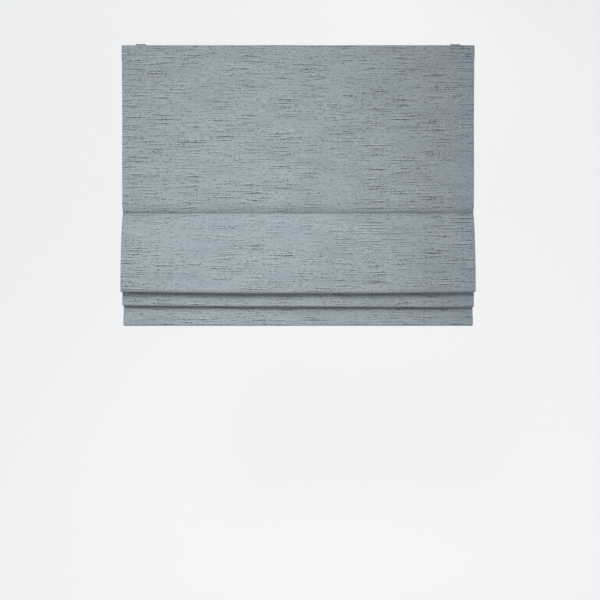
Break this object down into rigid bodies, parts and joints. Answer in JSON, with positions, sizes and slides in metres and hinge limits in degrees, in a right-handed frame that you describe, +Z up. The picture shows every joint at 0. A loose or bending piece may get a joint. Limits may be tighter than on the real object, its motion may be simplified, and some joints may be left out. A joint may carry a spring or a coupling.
{
  "type": "roman blind",
  "caption": "Half-raised roman blind with a cordless spring lift, its slub cloth gathered in hanging folds above a straight weighted hem.",
  "frame": {"origin": "middle of the bracket screw holes, on the mounting face above the headrail", "axes": "+X to the right as seen from the room, -Y out into the room, +Z up"},
  "size_m": [0.893, 0.0787, 0.716],
  "materials": {
    "cloth": "grey-blue slub weave",
    "white_steel": "semi-gloss white paint",
    "dark_plastic": "moulded, fine grain",
    "dark_steel": "dark satin paint",
    "shaft_steel": "drawn",
    "white_plastic": "moulded",
    "grey_plastic": "moulded",
    "motor_plastic": "moulded",
    "spring_steel": "rolled ribbon",
    "bush_brass": "turned",
    "cord": "braided",
    "tape": "hook and loop",
    "batten": "pultruded strip",
    "bar_steel": "rolled, thin paint"
  },
  "bodies": {
    "headrail": {"headrail": "white_steel", "end_cap_left": "dark_plastic", "end_cap_right": "dark_plastic", "bracket_left": "dark_steel", "bracket_right": "dark_steel", "cradle_left": "grey_plastic", "cradle_right": "grey_plastic", "motor_case": "motor_plastic", "motor_cover": "motor_plastic", "storage_pin": "shaft_steel", "ribbon_spring": "spring_steel", "hook_tape": "tape", "loop_tape": "tape", "cloth": "cloth", "lift_cord_left": "cord", "lift_cord_right": "cord"},
    "shaft_bushes": {"shaft_bushes": "bush_brass"},
    "lift_shaft": {"lift_shaft": "shaft_steel", "spool_left": "white_plastic", "spool_right": "white_plastic", "power_spool": "white_plastic", "cord_winding_left": "cord", "cord_winding_right": "cord"},
    "upper_batten": {"upper_batten": "batten", "upper_eyelets": "white_plastic"},
    "middle_batten": {"middle_batten": "batten", "middle_eyelets": "white_plastic"},
    "bottom_rail": {"lower_batten": "batten", "lower_eyelets": "white_plastic", "cord_beads": "white_plastic", "bottom_rail": "bar_steel", "rail_cap_left": "dark_plastic", "rail_cap_right": "dark_plastic"}
  },
  "joints": [
    {"name": "blind_raise", "type": "slide", "parent": "headrail", "child": "upper_batten", "axis": [0, 0, 1], "range_m": [0, 0.35], "deforming": ["cloth", "lift_cord_left", "lift_cord_right"]},
    {"name": "fold_open_upper", "type": "slide", "parent": "upper_batten", "child": "middle_batten", "axis": [0, 0, -1], "range_m": [0, 0.391]},
    {"name": "fold_open_lower", "type": "slide", "parent": "middle_batten", "child": "bottom_rail", "axis": [0, 0, -1], "range_m": [0, 0.39]},
    {"name": "bush_turn", "type": "hinge", "parent": "headrail", "child": "shaft_bushes", "pos_m": [0, 0.01, -0.025], "axis": [-1, 0, 0], "range_deg": [0, 2116]},
    {"name": "shaft_turn", "type": "hinge", "parent": "shaft_bushes", "child": "lift_shaft", "pos_m": [0, 0.01, -0.025], "axis": [-1, 0, 0], "range_deg": [-4709, 0], "deforming": ["ribbon_spring"]}
  ],
  "couplings": [
    {"joint": "fold_open_upper", "follows": "fold_open_lower", "ratio": 1},
    {"joint": "bush_turn", "follows": "blind_raise", "rad_per_m": 105.26},
    {"joint": "shaft_turn", "follows": "fold_open_lower", "rad_per_m": -210.53}
  ]
}
